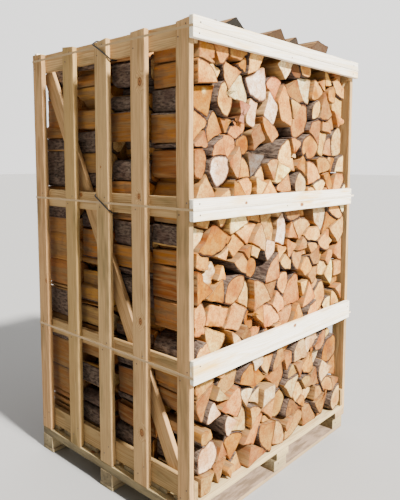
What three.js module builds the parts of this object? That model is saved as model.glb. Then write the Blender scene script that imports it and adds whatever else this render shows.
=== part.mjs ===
// A tall slatted crate of split firewood on a nine-block pallet, in millimetres with +Z up.
// The front, where the log ends show between three boards, faces -Y. The left side faces -X.
// The origin is under the middle of the crate, on the surface that the pallet stands on.
// Each row of logs is one closed solid with the outer shape of the stacked row.
import * as THREE from 'three';
import { mergeVertices } from 'three/addons/utils/BufferGeometryUtils.js';

// Driving dimensions
const crateWidth = 1236; // over the outer faces of the side slats, along X
const crateDepth = 1068; // from the front edge of the front slats to the back edge of the back ones
const slatThickness = 24;
const railThickness = 22.7;
const braceThickness = 22;
const boardThickness = 21.7; // front and back boards
const boardOverhang = 14; // how far the top front board runs past the right side
const gap = 0.3; // between pieces that touch

// Pallet heights, from the ground up
const skidTop = 18;
const blockTop = 79;
const stringerTop = 117;
const deckTop = 139;
const footRecess = 15; // the front feet stand this far behind the front slats' edge
const skidDepth = 92;
const blockWidth = 98;
const blockDepth = 86;
const deckBoardCount = 7;
const deckBoardDepth = 118;

// Log rows
const rowCount = 4;
const rowLength = 256;
const logTop = 1985; // the general height of the stack
const sideClearance = 7; // between a log row and the rails
const braceClearance = 3; // between a log row and the sloping braces

const halfWidth = crateWidth / 2;
const front = -crateDepth / 2;
const back = crateDepth / 2;

// Materials
const freshTimber = new THREE.MeshStandardMaterial({ color: 0xd9b98c, roughness: 0.75, metalness: 0 });
const frontTimber = new THREE.MeshStandardMaterial({ color: 0xefdcb8, roughness: 0.75, metalness: 0 });
const palletTimber = new THREE.MeshStandardMaterial({ color: 0xb8966a, roughness: 0.85, metalness: 0 });
const splitLogs = new THREE.MeshStandardMaterial({ color: 0xd9a87c, roughness: 0.9, metalness: 0 });
const bandPlastic = new THREE.MeshStandardMaterial({ color: 0xb59f74, roughness: 0.35, metalness: 0 });
const tiePlastic = new THREE.MeshStandardMaterial({ color: 0x151515, roughness: 0.5, metalness: 0 });

const crate = new THREE.Group();

function place(name, geometry, material, x = 0, y = 0, z = 0) {
  const mesh = new THREE.Mesh(geometry, material);
  mesh.name = name;
  mesh.position.set(x, y, z);
  crate.add(mesh);
}

// A squared timber given by its lowest and highest corners
function timber(name, material, low, high) {
  const size = high.map((value, axis) => value - low[axis]);
  const middle = high.map((value, axis) => (value + low[axis]) / 2);
  place(name, new THREE.BoxGeometry(...size), material, ...middle);
}

// A flat piece whose outline is drawn in the YZ plane, with its thickness along X from xLow up
function sidePlate(name, material, outline, thickness, xLow) {
  const shape = new THREE.Shape(outline.map(([y, z]) => new THREE.Vector2(y, z)));
  const geometry = new THREE.ExtrudeGeometry(shape, { depth: thickness, bevelEnabled: false });
  const yAxis = new THREE.Vector3(0, 1, 0);
  const zAxis = new THREE.Vector3(0, 0, 1);
  geometry.applyMatrix4(new THREE.Matrix4().makeBasis(yAxis, zAxis, new THREE.Vector3(1, 0, 0)));
  place(name, geometry, material, xLow);
}

// A block outline is drawn in the XZ plane, with its length along Y from yFront back
function rowSolid(name, outline, length, yFront) {
  const shape = new THREE.Shape(outline.map(([x, z]) => new THREE.Vector2(x, z)));
  const geometry = new THREE.ExtrudeGeometry(shape, { depth: length, bevelEnabled: false });
  const xAxis = new THREE.Vector3(1, 0, 0);
  const zAxis = new THREE.Vector3(0, 0, 1);
  geometry.applyMatrix4(new THREE.Matrix4().makeBasis(xAxis, zAxis, new THREE.Vector3(0, -1, 0)));
  place(name, geometry, splitLogs, 0, yFront + length);
}

// Pallet: three skids, nine blocks, three stringers and the deck
const footRows = [
  { name: 'front', y: front + footRecess + blockDepth / 2 },
  { name: 'middle', y: front + 533 },
  { name: 'back', y: back - blockDepth / 2 },
];
const footColumns = [
  { name: 'left', x: -halfWidth + blockWidth / 2 },
  { name: 'middle', x: 18 },
  { name: 'right', x: halfWidth - blockWidth / 2 },
];

function buildPallet() {
  for (const row of footRows) {
    const yLow = row.y - skidDepth / 2 + (row.name === 'back' ? -3 : 3);
    const skidHigh = [halfWidth, yLow + skidDepth, skidTop];
    timber(`skid_${row.name}`, palletTimber, [-halfWidth, yLow, 0], skidHigh);
    for (const column of footColumns) {
      const low = [column.x - blockWidth / 2, row.y - blockDepth / 2, skidTop + gap];
      const high = [column.x + blockWidth / 2, row.y + blockDepth / 2, blockTop];
      timber(`block_${row.name}_${column.name}`, palletTimber, low, high);
    }
  }
  for (const column of footColumns) {
    const low = [column.x - blockWidth / 2, front + 2, blockTop + gap];
    const high = [column.x + blockWidth / 2, back - 2, stringerTop];
    timber(`stringer_${column.name}`, palletTimber, low, high);
  }
  const deckHalfWidth = halfWidth - slatThickness - gap;
  const pitch = (crateDepth - deckBoardDepth) / (deckBoardCount - 1);
  for (let i = 0; i < deckBoardCount; i += 1) {
    const yLow = front + i * pitch;
    const low = [-deckHalfWidth, yLow, stringerTop + gap];
    timber(`deck_board_${i + 1}`, palletTimber, low, [deckHalfWidth, yLow + deckBoardDepth, deckTop]);
  }
}

// Side panels: five upright slats outside, four rails behind them and one sloping brace inside.
// Slats run from front to back: distance of the near edge from the front, width, the lean of the
// top towards the back, and the heights of the sawn top at its near and far corners.
const leftSlats = [
  { near: 0, width: 70, lean: 0, nearTop: 1999, farTop: 1991 },
  { near: 251, width: 87, lean: -9, nearTop: 1998, farTop: 1993 },
  { near: 491, width: 85, lean: -8, nearTop: 1996, farTop: 1984 },
  { near: 735, width: 82, lean: -7, nearTop: 1994, farTop: 2001 },
  { near: 990, width: 78, lean: 0, nearTop: 1994, farTop: 1997 },
];
const rightSlats = [
  { near: 0, width: 76, lean: 0, nearTop: 1997, farTop: 1994 },
  { near: 245, width: 83, lean: 5, nearTop: 1990, farTop: 1996 },
  { near: 496, width: 86, lean: -4, nearTop: 1999, farTop: 1995 },
  { near: 741, width: 79, lean: 6, nearTop: 1993, farTop: 1989 },
  { near: 986, width: 82, lean: 0, nearTop: 1998, farTop: 1992 },
];
const rails = [
  { name: 'bottom', low: deckTop + gap, width: 92, rise: 0 },
  { name: 'lower', low: 638, width: 68, rise: -11 },
  { name: 'upper', low: 1266, width: 83, rise: 0 },
  { name: 'top', low: 1911, width: 84, rise: 0 },
];
const braceWidth = 77;
const braceLowEnd = { y: 110, z: 181 }; // middle of the ends of the brace, from the front and the ground
const braceHighEnd = { y: 1019, z: 1915 };

function buildSide(side, name, slats, towardsBack) {
  const outer = side * halfWidth;
  const layer = (inset, thickness) => (side < 0 ? outer + inset : outer - inset - thickness);
  slats.forEach((slat, i) => {
    const near = front + slat.near;
    const far = near + slat.width;
    const outline = [
      [near, stringerTop + gap],
      [far, stringerTop + gap],
      [far + slat.lean, slat.farTop],
      [near + slat.lean, slat.nearTop],
    ];
    sidePlate(`${name}_slat_${i + 1}`, freshTimber, outline, slatThickness, layer(0, slatThickness));
  });
  const railInset = slatThickness + gap;
  for (const rail of rails) {
    const outline = [
      [front, rail.low],
      [back, rail.low + rail.rise],
      [back, rail.low + rail.rise + rail.width],
      [front, rail.low + rail.width],
    ];
    const xLow = layer(railInset, railThickness);
    sidePlate(`${name}_rail_${rail.name}`, freshTimber, outline, railThickness, xLow);
  }
  const braceInset = railInset + railThickness + gap;
  const mirror = towardsBack ? 1 : -1;
  const slope = braceDirection(mirror);
  const across = new THREE.Vector2(-slope.y, slope.x).multiplyScalar(braceWidth / 2);
  const low = new THREE.Vector2(mirror * (front + braceLowEnd.y), braceLowEnd.z);
  const high = new THREE.Vector2(mirror * (front + braceHighEnd.y), braceHighEnd.z);
  const outline = [[low, -1], [high, -1], [high, 1], [low, 1]].map(([end, edge]) => [
    end.x + edge * across.x,
    end.y + edge * across.y,
  ]);
  const xLow = layer(braceInset, braceThickness);
  sidePlate(`${name}_brace`, freshTimber, outline, braceThickness, xLow);
}

function braceDirection(mirror) {
  const run = mirror * (braceHighEnd.y - braceLowEnd.y);
  return new THREE.Vector2(run, braceHighEnd.z - braceLowEnd.z).normalize();
}

// Boards nailed across the front and the back, over the ends of the rails
const frontBoards = [
  { name: 'lower', low: 640, width: 96, length: crateWidth - 14 },
  { name: 'upper', low: 1263, width: 84, length: crateWidth - 26 },
  { name: 'top', low: 1924, width: 80, length: crateWidth + boardOverhang },
];
const backBoardWidth = 86;
const backBoardLift = 3; // the back boards sit this much higher than the front ones
const backBoardInset = slatThickness; // the back boards end level with the rails, inside the slats

function buildBoards() {
  for (const board of frontBoards) {
    const x = -halfWidth;
    const frontLow = [x, front - gap - boardThickness, board.low];
    const frontHigh = [x + board.length, front - gap, board.low + board.width];
    timber(`front_board_${board.name}`, frontTimber, frontLow, frontHigh);
    const backBottom = board.low + backBoardLift;
    const backLow = [backBoardInset - halfWidth, back + gap, backBottom];
    const backHigh = [halfWidth - backBoardInset, back + gap + boardThickness, backBottom + backBoardWidth];
    timber(`back_board_${board.name}`, frontTimber, backLow, backHigh);
  }
}

// Strapping bands: closed loops of thin flat band pulled tight round the crate
const bandWidth = 9;
const bandThickness = 0.9;
const bandBend = 0.8;
const bandHeights = [
  { name: 'lower', z: 668, right: halfWidth },
  { name: 'upper', z: 1307, right: halfWidth },
  { name: 'top', z: 1966, right: halfWidth + boardOverhang },
];

// A loop with round front corners, the right one of which may stand further out. At the back it runs
// slantwise from the slats' edges to the ends of the back boards.
function loopPath(path, left, frontRight, backRight, yFront, yBack, bend) {
  const quarter = Math.PI / 2;
  path.moveTo(left + bend, yFront);
  path.lineTo(frontRight - bend, yFront);
  path.absarc(frontRight - bend, yFront + bend, bend, -quarter, 0, false);
  path.lineTo(backRight, yBack - boardThickness - gap);
  path.lineTo(backRight - backBoardInset, yBack);
  path.lineTo(left + backBoardInset, yBack);
  path.lineTo(left, yBack - boardThickness - gap);
  path.lineTo(left, yFront + bend);
  path.absarc(left + bend, yFront + bend, bend, 2 * quarter, 3 * quarter, false);
  return path;
}

function buildBands() {
  const reach = back + gap + boardThickness;
  for (const band of bandHeights) {
    const inner = gap;
    const outer = gap + bandThickness;
    const edges = (out) => [
      -halfWidth - out,
      band.right + out,
      halfWidth + out,
      -reach - out,
      reach + out,
    ];
    const shape = loopPath(new THREE.Shape(), ...edges(outer), bandBend + bandThickness);
    shape.holes.push(loopPath(new THREE.Path(), ...edges(inner), bandBend));
    const settings = { depth: bandWidth, bevelEnabled: false, curveSegments: 3 };
    const geometry = new THREE.ExtrudeGeometry(shape, settings);
    place(`strap_${band.name}`, geometry, bandPlastic, 0, 0, band.z - bandWidth / 2);
  }
}

// Black ties: closed loops of thin round line lashed slantwise over the middle left slat and round
// the rail behind it
const tieRadius = 3;
const tieStandoff = 3.4; // from the timber to the line's centre
const tieOverBand = 4.5; // the same where the line crosses over a strapping band
const tieBend = 5;
const tieEndInset = 14; // height of a crossing's ends on the slat, in from the rail's edges
const tieSpread = 3; // how much further out the line passes behind the slat than beside it

function tieCorners(railLow, railHigh, slatNear, slatFar) {
  const outside = -halfWidth - tieOverBand;
  const between = -halfWidth + slatThickness - tieStandoff;
  const inside = -halfWidth + slatThickness + gap + railThickness + tieStandoff;
  const near = slatNear - tieStandoff;
  const far = slatFar + tieStandoff;
  return [
    [outside, far, railHigh - tieEndInset],
    [outside, near, railLow + tieEndInset],
    [between, near - tieSpread, railLow - tieStandoff],
    [inside, near - tieSpread, railLow - tieStandoff],
    [inside, far + tieSpread, railHigh + tieStandoff],
    [between, far + tieSpread, railHigh + tieStandoff],
  ].map((p) => new THREE.Vector3(...p));
}

// A closed run of straight stretches whose corners are rounded with short curves
function roundedLoop(corners, bend) {
  const path = new THREE.CurvePath();
  corners.forEach((corner, i) => {
    const before = corners[(i + corners.length - 1) % corners.length];
    const after = corners[(i + 1) % corners.length];
    const enter = corner.clone().add(before.clone().sub(corner).setLength(bend));
    const leave = corner.clone().add(after.clone().sub(corner).setLength(bend));
    const arrive = after.clone().add(corner.clone().sub(after).setLength(bend));
    path.add(new THREE.QuadraticBezierCurve3(enter, corner, leave));
    path.add(new THREE.LineCurve3(leave, arrive));
  });
  return path;
}

function buildTies() {
  const slat = leftSlats[2];
  for (const rail of rails.filter((r) => r.name === 'top' || r.name === 'upper')) {
    const lean = (slat.lean * rail.low) / slat.nearTop;
    const near = front + slat.near + lean;
    const corners = tieCorners(rail.low, rail.low + rail.width, near, near + slat.width);
    const tube = new THREE.TubeGeometry(roundedLoop(corners, tieBend), 96, tieRadius, 6, true);
    tube.deleteAttribute('uv');
    tube.deleteAttribute('normal');
    place(`tie_${rail.name}`, mergeVertices(tube, 1e-3), tiePlastic);
  }
}

// Log rows: the outline of each row follows the rails, steps in past the braces and ends in the
// peaks of the topmost logs. Peaks are [distance from the left side, height], from left to right.
const rowPeaks = [
  [[70, 1986], [135, 2012], [165, 2026], [190, 2004], [288, 2058], [372, 1998], [440, 2008], [585, 2066],
    [636, 2004], [736, 2063], [782, 1996], [884, 2066], [1000, 2052], [1062, 1996], [1150, 1990]],
  [[80, 1990], [170, 2040], [260, 1994], [350, 2052], [450, 2000], [560, 2046], [650, 1990], [760, 2058],
    [860, 1996], [960, 2044], [1060, 1992], [1140, 2020]],
  [[90, 2006], [200, 1994], [310, 2050], [400, 1998], [520, 2030], [640, 1992], [730, 2056], [840, 2000],
    [930, 2040], [1030, 1994], [1130, 2030]],
  [[100, 1992], [190, 2046], [300, 1996], [410, 2036], [500, 1990], [610, 2060], [700, 1998], [810, 2042],
    [920, 1992], [1010, 2050], [1120, 1996]],
];

// Heights between which the brace crosses the given stretch of depth
function braceSpan(yLow, yHigh, mirror) {
  const slope = (braceHighEnd.z - braceLowEnd.z) / (braceHighEnd.y - braceLowEnd.y);
  const reach = (braceWidth / 2) * Math.hypot(1, slope) + 12;
  const heightAt = (y) => braceLowEnd.z + (mirror * y - front - braceLowEnd.y) * slope;
  const heights = [heightAt(yLow), heightAt(yHigh)];
  return [Math.min(...heights) - reach, Math.max(...heights) + reach];
}

function rowOutline(yLow, yHigh, peaks) {
  const floor = deckTop + 0.5;
  const wall = halfWidth - slatThickness - gap - railThickness - sideClearance;
  const step = halfWidth - slatThickness - 2 * gap - railThickness - braceThickness - braceClearance;
  const edge = (side, mirror) => {
    const [low, high] = braceSpan(yLow, yHigh, mirror);
    const points = [[side * (low <= floor ? step : wall), floor]];
    if (low > floor) points.push([side * wall, low], [side * step, low]);
    if (high < logTop) points.push([side * step, high], [side * wall, high]);
    points.push([side * (high < logTop ? wall : step), logTop]);
    return points;
  };
  const top = peaks.map(([x, z]) => [x - halfWidth, z]);
  return [...edge(1, -1), ...top.reverse(), ...edge(-1, 1).reverse()];
}

function buildLogRows() {
  const pitch = crateDepth / rowCount;
  for (let i = 0; i < rowCount; i += 1) {
    const yFront = front + i * pitch + (pitch - rowLength) / 2;
    rowSolid(`log_row_${i + 1}`, rowOutline(yFront, yFront + rowLength, rowPeaks[i]), rowLength, yFront);
  }
}

buildPallet();
buildSide(-1, 'left', leftSlats, true);
buildSide(1, 'right', rightSlats, false);
buildBoards();
buildBands();
buildTies();
buildLogRows();

// The origin is midway between the ties on the left and the overhanging board's band on the right
crate.position.x = (tieOverBand + tieRadius - boardOverhang - gap - bandThickness) / 2;

export default crate;
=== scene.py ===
"""Looks of the firewood crate: rough-sawn boards, a block pallet, four stacked rows of split logs,
strapping bands, black ties and nail heads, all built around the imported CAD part. Metres, +Z up."""

import math

import bpy
import numpy as np
from mathutils import Euler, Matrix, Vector


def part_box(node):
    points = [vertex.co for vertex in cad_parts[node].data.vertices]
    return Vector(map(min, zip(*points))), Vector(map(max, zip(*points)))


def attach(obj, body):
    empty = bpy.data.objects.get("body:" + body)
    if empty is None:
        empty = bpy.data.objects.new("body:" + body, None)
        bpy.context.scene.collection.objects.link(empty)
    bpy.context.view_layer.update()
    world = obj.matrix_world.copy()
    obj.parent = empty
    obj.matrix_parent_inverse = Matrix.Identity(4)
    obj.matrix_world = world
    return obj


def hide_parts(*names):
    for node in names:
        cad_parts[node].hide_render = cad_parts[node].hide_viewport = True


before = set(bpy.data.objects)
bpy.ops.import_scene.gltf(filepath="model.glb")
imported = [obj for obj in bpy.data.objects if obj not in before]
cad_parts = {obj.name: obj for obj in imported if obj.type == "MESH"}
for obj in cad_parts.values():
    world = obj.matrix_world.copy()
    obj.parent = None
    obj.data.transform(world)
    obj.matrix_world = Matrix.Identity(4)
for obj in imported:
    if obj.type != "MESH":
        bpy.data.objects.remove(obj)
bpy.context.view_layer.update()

# ---------------------------------------------------------------- camera, floor and light
IMAGE_LONG_SIDE = 500
SENSOR = 36.0
camera_data = bpy.data.cameras.new("camera")
camera_data.sensor_width = SENSOR
camera_data.lens = 38.42
camera_data.shift_x = -0.0311
camera_data.shift_y = -0.0733
camera = bpy.data.objects.new("camera", camera_data)
near_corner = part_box("left_slat_1")[0]
camera.location = (near_corner.x - 1.3959, near_corner.y - 1.3689, 1.4817)
camera.rotation_euler = (math.radians(90 - 5.4555), math.radians(-0.15), math.radians(-48.372))
bpy.context.scene.collection.objects.link(camera)
bpy.context.scene.camera = camera

SUN_AZIMUTH, SUN_ELEVATION = math.radians(1.5), math.radians(42)
SUN_STRENGTH, SUN_ANGLE = 15.5, math.radians(5)
SKY_LEFT, SKY_RIGHT = 0.19, 1.95
sun_data = bpy.data.lights.new("sun", "SUN")
sun_data.energy = SUN_STRENGTH
sun_data.angle = SUN_ANGLE
sun_data.color = (1.0, 0.965, 0.91)
sun = bpy.data.objects.new("sun", sun_data)
towards_sun = Vector((
    -math.sin(SUN_AZIMUTH) * math.cos(SUN_ELEVATION),
    -math.cos(SUN_AZIMUTH) * math.cos(SUN_ELEVATION),
    math.sin(SUN_ELEVATION),
))
sun.rotation_euler = towards_sun.to_track_quat("Z", "Y").to_euler()
bpy.context.scene.collection.objects.link(sun)

# ---------------------------------------------------------------- shader helpers
def connect(tree, socket, value):
    if isinstance(value, bpy.types.NodeSocket):
        tree.links.new(value, socket)
    elif value is not None:
        socket.default_value = value


def node(tree, kind, *values, **settings):
    """A shader node with its settings, and its first inputs linked or set in order."""
    made = tree.nodes.new("ShaderNode" + kind)
    for key, setting in settings.items():
        setattr(made, key, setting)
    for socket, value in zip(made.inputs, values):
        connect(tree, socket, value)
    return made


def math_node(tree, operation, a, b=None, c=None, clamp=False):
    return node(tree, "Math", a, b, c, operation=operation, use_clamp=clamp).outputs[0]


def vector_node(tree, operation, a, b=None):
    made = node(tree, "VectorMath", a, operation=operation)
    if operation == "SCALE":
        connect(tree, made.inputs["Scale"], b)
    elif b is not None:
        connect(tree, made.inputs[1], b)
    return made.outputs["Value"] if operation in ("LENGTH", "DISTANCE") else made.outputs["Vector"]


def noise(tree, vector, scale, detail=3.0, roughness=0.55, distortion=0.0):
    made = tree.nodes.new("ShaderNodeTexNoise")
    connect(tree, made.inputs["Vector"], vector)
    made.inputs["Scale"].default_value = scale
    made.inputs["Detail"].default_value = detail
    made.inputs["Roughness"].default_value = roughness
    made.inputs["Distortion"].default_value = distortion
    return made.outputs[0]


def ramp(tree, value, low, high, out_low=0.0, out_high=1.0):
    """A smooth step of value from low to high."""
    made = tree.nodes.new("ShaderNodeMapRange")
    made.interpolation_type = "SMOOTHSTEP"
    for name, given in (("Value", value), ("From Min", low), ("From Max", high),
                        ("To Min", out_low), ("To Max", out_high)):
        connect(tree, made.inputs[name], given)
    return made.outputs["Result"]


def mix(tree, factor, a, b, blend="MIX"):
    made = tree.nodes.new("ShaderNodeMix")
    made.data_type = "RGBA"
    made.blend_type = blend
    made.clamp_factor = True
    connect(tree, made.inputs[0], factor)
    for socket, value in ((made.inputs[6], a), (made.inputs[7], b)):
        connect(tree, socket, value)
    return made.outputs[2]


def linear(hexadecimal):
    """An sRGB colour such as 'D9AD90' as linear RGBA."""
    parts = [int(hexadecimal[i:i + 2], 16) / 255 for i in (0, 2, 4)]
    return (*[((p + 0.055) / 1.055) ** 2.4 if p > 0.04045 else p / 12.92 for p in parts], 1.0)


def grey(tree, value):
    return node(tree, "CombineColor", value, value, value).outputs[0]


def attribute(tree, name, output="Vector"):
    return node(tree, "Attribute", attribute_name=name).outputs[output]


def new_material(name, roughness=0.8):
    material = bpy.data.materials.new(name)
    material.use_nodes = True
    tree = material.node_tree
    surface = tree.nodes["Principled BSDF"]
    surface.inputs["Roughness"].default_value = roughness
    surface.inputs["Specular IOR Level"].default_value = 0.25
    return material, tree, surface


def finish_material(tree, surface, colour, roughness, height, strength, distance):
    connect(tree, surface.inputs["Base Color"], colour)
    connect(tree, surface.inputs["Roughness"], roughness)
    bump = tree.nodes.new("ShaderNodeBump")
    bump.inputs["Strength"].default_value = strength
    bump.inputs["Distance"].default_value = distance
    connect(tree, bump.inputs["Height"], height)
    connect(tree, surface.inputs["Normal"], bump.outputs["Normal"])


# ---------------------------------------------------------------- sky: dim on the left, bright on the right
world = bpy.data.worlds.new("studio")
world.use_nodes = True
sky_tree = world.node_tree
background = sky_tree.nodes["Background"]
background.inputs["Color"].default_value = (1.0, 0.985, 0.965, 1)
sky_direction = node(sky_tree, "SeparateXYZ", node(sky_tree, "TexCoord").outputs["Generated"])
connect(sky_tree, background.inputs["Strength"],
        ramp(sky_tree, sky_direction.outputs[0], -0.60, 0.60, SKY_LEFT, SKY_RIGHT))
bpy.context.scene.world = world


# ---------------------------------------------------------------- timber
RING_SPACING = 0.0052
KNOT_CELL = (0.34, 0.115)


def timber_material(name, early, late, stain, stain_amount, dirt_amount, knot_share, knots=(), low_darkening_and_painted_shade=0.0):
    """Sawn softwood. 'ring' is the place in the board: across and through it from the pith, and along it.
    'board' is the board's own tone and hue, and how near the spot is to a long edge."""
    material, tree, surface = new_material(name)
    place = attribute(tree, "ring")
    split = node(tree, "SeparateXYZ", place)
    across, through, along = split.outputs
    board = node(tree, "SeparateXYZ", attribute(tree, "board"))
    tone, hue, edge = board.outputs

    # knots: one for some cells of a stretched grid, and those given by (across, along, radius)
    cell_place = node(tree, "CombineXYZ", math_node(tree, "DIVIDE", along, KNOT_CELL[0]),
                      math_node(tree, "DIVIDE", across, KNOT_CELL[1]), 0.0).outputs[0]
    cells = tree.nodes.new("ShaderNodeTexVoronoi")
    cells.voronoi_dimensions = "2D"
    cells.inputs["Scale"].default_value = 1.0
    connect(tree, cells.inputs["Vector"], cell_place)
    offset = vector_node(tree, "MULTIPLY", vector_node(tree, "SUBTRACT", cell_place, cells.outputs["Position"]),
                         (KNOT_CELL[0] * 0.72, KNOT_CELL[1], 0))
    chance = node(tree, "SeparateColor", cells.outputs["Color"])
    radius = ramp(tree, chance.outputs[0], 1 - knot_share, 1.0, 0.0001, 0.0115)
    knot = math_node(tree, "DIVIDE", vector_node(tree, "LENGTH", offset), radius)
    for knot_across, knot_along, knot_radius in knots:
        away = vector_node(tree, "MULTIPLY",
                           vector_node(tree, "SUBTRACT", place, (knot_across, 0, knot_along)),
                           (1 / knot_radius, 0, 0.7 / knot_radius))
        knot = math_node(tree, "MINIMUM", knot, vector_node(tree, "LENGTH", away))
    ragged = noise(tree, place, 120, 2)
    knot = math_node(tree, "ADD", knot, math_node(tree, "MULTIPLY", math_node(tree, "SUBTRACT", ragged, 0.5), 0.7))

    # growth rings, bent slowly along the board and swept round the knots
    slow = vector_node(tree, "MULTIPLY", place, (9, 9, 1.3))
    bend = vector_node(tree, "SCALE", node(tree, "CombineXYZ",
                       math_node(tree, "SUBTRACT", noise(tree, slow, 1.0, 2), 0.5),
                       math_node(tree, "SUBTRACT", noise(tree, vector_node(tree, "ADD", slow, (7, 3, 5)), 1.0, 2), 0.5),
                       0.0).outputs[0], 0.034)
    flat = vector_node(tree, "MULTIPLY", place, (1, 1, 0))
    from_pith = vector_node(tree, "LENGTH", vector_node(tree, "ADD", flat, bend))
    swirl = ramp(tree, knot, 0.9, 3.2, 0.011, 0.0)
    ring = math_node(tree, "FRACT", math_node(tree, "DIVIDE", math_node(tree, "ADD", from_pith, swirl), RING_SPACING))
    late_wood = math_node(tree, "POWER", ramp(tree, ring, 0.15, 0.9), 1.6)
    late_wood = math_node(tree, "MULTIPLY", late_wood, ramp(tree, ring, 1.0, 0.92))

    fibre_place = vector_node(tree, "MULTIPLY", place, (330, 330, 9))
    fibre = noise(tree, fibre_place, 1.0, 4, 0.6)
    streak = noise(tree, vector_node(tree, "MULTIPLY", place, (60, 60, 1.6)), 1.0, 3, 0.6)
    patch = noise(tree, vector_node(tree, "MULTIPLY", place, (14, 14, 2.4)), 1.0, 3, 0.6)

    colour = mix(tree, math_node(tree, "MULTIPLY", late_wood, 0.5), early, late)
    colour = mix(tree, ramp(tree, streak, 0.5, 0.78, 0, 0.42), colour, late)
    colour = mix(tree, math_node(tree, "MULTIPLY", ramp(tree, patch, 0.5, 0.72), stain_amount), colour, stain)
    pink, green = linear("F0C6AE"), linear("C9C79A")
    colour = mix(tree, ramp(tree, hue, 0.0, 1.0, 0, 0.75), colour, pink, "MULTIPLY")
    colour = mix(tree, ramp(tree, hue, 0.0, -1.0, 0, 0.75), colour, green, "MULTIPLY")
    fibre_tone = ramp(tree, fibre, 0.3, 0.7, 0.86, 1.08)
    colour = mix(tree, 1.0, colour, grey(tree, math_node(tree, "MULTIPLY", fibre_tone, tone)), "MULTIPLY")

    # edge wear and dirt; on the pallet also darker towards the bottom, and painted shade on the faces turned to the
    # sides and on the low top faces of the skids
    grime_and_shade_noise = noise(tree, vector_node(tree, "MULTIPLY", place, (40, 40, 8)), 1.0, 4, 0.65)
    worn = math_node(tree, "MULTIPLY", ramp(tree, edge, 0.55, 1.0), ramp(tree, grime_and_shade_noise, 0.42, 0.62))
    colour = mix(tree, math_node(tree, "MULTIPLY", worn, 0.45), colour, linear("6F5A43"))
    colour = mix(tree, math_node(tree, "MULTIPLY", ramp(tree, grime_and_shade_noise, 0.52, 0.74), dirt_amount), colour, linear("5E5240"))
    if low_darkening_and_painted_shade:
        height = node(tree, "SeparateXYZ", node(tree, "NewGeometry").outputs["Position"]).outputs[2]
        # darker towards the bottom
        ragged_height = math_node(tree, "ADD", height, math_node(tree, "MULTIPLY", grime_and_shade_noise, -0.10))
        colour = mix(tree, ramp(tree, ragged_height, 0.16, -0.03, 0, low_darkening_and_painted_shade), colour, linear("77705A"))
        # painted shade: the pallet's faces turned to the sides are darkened
        facing = node(tree, "SeparateXYZ", node(tree, "NewGeometry").outputs["Normal"])
        outer = ramp(tree, math_node(tree, "ABSOLUTE", facing.outputs[0]), 0.5, 0.8, 0, 0.75)
        colour = mix(tree, outer, colour, mix(tree, ramp(tree, grime_and_shade_noise, 0.4, 0.62), linear("6F6347"), linear("4B4230")))
        # painted shade: the low top faces, the skids under the deck, are darkened grey-brown
        painted_skid_shade = math_node(tree, "MULTIPLY", ramp(tree, facing.outputs[2], 0.5, 0.8), ramp(tree, height, 0.04, 0.03))
        colour = mix(tree, math_node(tree, "MULTIPLY", painted_skid_shade, 0.85), colour,
                     mix(tree, ramp(tree, grime_and_shade_noise, 0.4, 0.62), linear("9A8472"), linear("6E5C4C")))

    # knots: a dark rim, rings inside and a darker heart
    knot_rings = math_node(tree, "SINE", math_node(tree, "MULTIPLY", knot, 17))
    inside = mix(tree, ramp(tree, knot_rings, -1, 1), linear("8A5A33"), linear("A8703F"))
    inside = mix(tree, ramp(tree, knot, 0.38, 0.0), inside, linear("4A2C1A"))
    inside = mix(tree, math_node(tree, "MULTIPLY", ramp(tree, knot, 0.72, 0.92), 0.8), inside, linear("3E2717"))
    halo = ramp(tree, knot, 2.0, 1.0, 0, 0.45)
    colour = mix(tree, halo, colour, linear("A87C4C"))
    colour = mix(tree, ramp(tree, knot, 1.08, 0.94), colour, inside)

    saw = noise(tree, vector_node(tree, "MULTIPLY", place, (26, 26, 620)), 1.0, 2, 0.5)
    height = math_node(tree, "ADD", math_node(tree, "MULTIPLY", fibre, 0.8),
                       math_node(tree, "MULTIPLY", saw, 0.5))
    height = math_node(tree, "SUBTRACT", height, math_node(tree, "MULTIPLY", late_wood, 0.25))
    finish_material(tree, surface, colour, ramp(tree, fibre, 0.2, 0.8, 0.9, 0.68), height, 0.55, 0.0011)
    return material


# ---------------------------------------------------------------- boards
def wave(rng, places, longest, shortest, count=5):
    """Smooth random values from 0 to 1 along a line."""
    total = np.zeros_like(places)
    for length in np.geomspace(longest, shortest, count):
        total += np.sin(2 * np.pi * places / length + rng.uniform(0, 2 * np.pi)) * length ** 0.5
    return (total - total.min()) / max(np.ptp(total), 1e-9)


def corners_of(node_name, along):
    """The eight corners of a board's CAD node, as [end, across, through], with its three lengths."""
    points = np.unique(np.round([v.co[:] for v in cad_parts[node_name].data.vertices], 6), axis=0)
    axes = {"x": 0, "y": 1, "z": 2}
    spans = points.max(0) - points.min(0)
    others = sorted((a for a in range(3) if a != axes[along]), key=lambda a: -spans[a])
    grid = np.zeros((2, 2, 2, 3))
    order = np.argsort(points[:, axes[along]], kind="stable")
    for end, members in enumerate((order[:4], order[4:])):
        four = points[members]
        four = four[np.argsort(four[:, others[0]], kind="stable")]
        for side, pair in enumerate((four[:2], four[2:])):
            grid[end, side] = pair[np.argsort(pair[:, others[1]], kind="stable")]
    length = np.linalg.norm((grid[1] - grid[0]).mean((0, 1)))
    width = np.linalg.norm((grid[:, 1] - grid[:, 0]).mean((0, 1)))
    thickness = np.linalg.norm((grid[:, :, 1] - grid[:, :, 0]).mean((0, 1)))
    return grid, length, width, thickness


STATION_STEP = 0.028
ARC_STEPS = 4
EDGE_WOBBLE, FACE_WOBBLE = 0.0016, 0.0006
CORNER_RADIUS = 0.0016


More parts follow.
